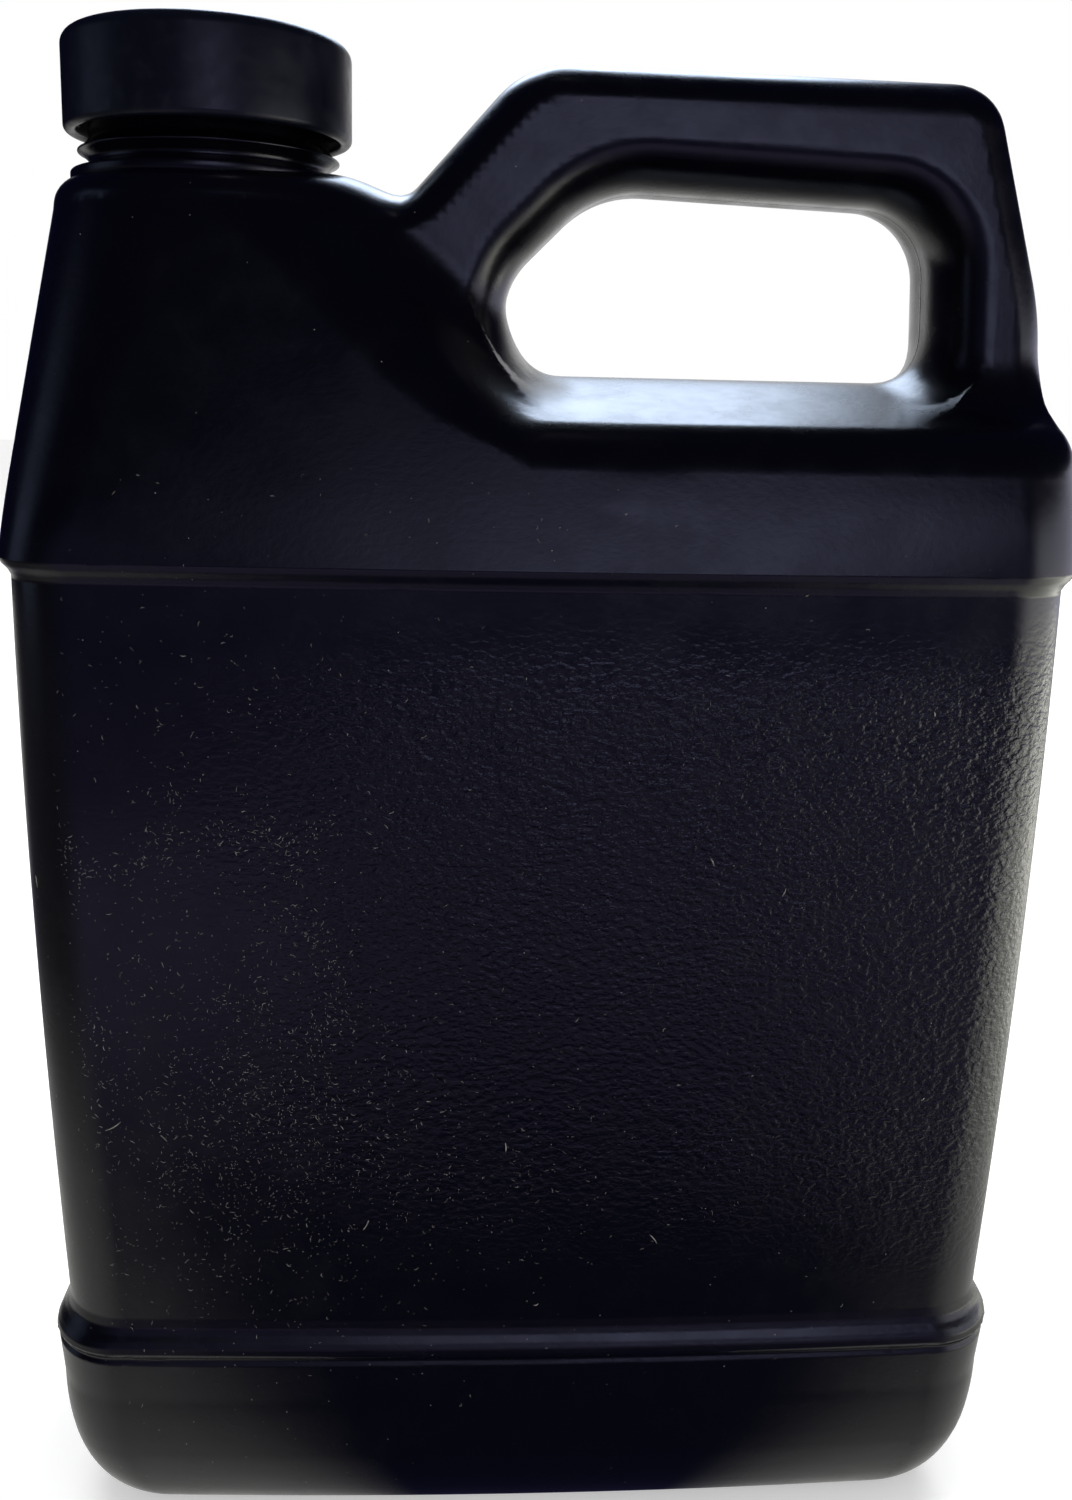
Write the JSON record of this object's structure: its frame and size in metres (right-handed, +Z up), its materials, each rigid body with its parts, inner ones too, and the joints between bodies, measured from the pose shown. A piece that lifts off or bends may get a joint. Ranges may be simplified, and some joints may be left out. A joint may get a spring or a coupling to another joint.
{
  "type": "handled jug bottle with screw cap",
  "caption": "Black blow-moulded oblong jug with a hollow through-handle, a recessed plain panel, an offset threaded neck and a screw cap with a liner.",
  "frame": {"origin": "on the table, under the middle of the box round the whole part", "axes": "+X towards the handle side, the neck lies at -X; +Y to the back, the front faces -Y; +Z up"},
  "size_m": [0.132, 0.057, 0.1928],
  "materials": {
    "bottle_plastic": "satin black HDPE with a fine grain",
    "cap_plastic": "satin black, smooth sided",
    "liner_foam": "white foamed polyethylene"
  },
  "bodies": {
    "jug": {"bottle": "bottle_plastic"},
    "seal": {"cap_liner": "liner_foam"},
    "closure": {"cap": "cap_plastic"}
  },
  "joints": [
    {"name": "cap_lift", "type": "slide", "parent": "jug", "child": "seal", "axis": [0, 0, 1], "range_m": [0, 0.00529]},
    {"name": "cap_turn", "type": "hinge", "parent": "seal", "child": "closure", "pos_m": [-0.043, 0, 0.187], "axis": [0, 0, 1], "range_deg": [0, 450]}
  ],
  "couplings": [
    {"joint": "cap_turn", "follows": "cap_lift", "rad_per_m": 1485.4}
  ]
}
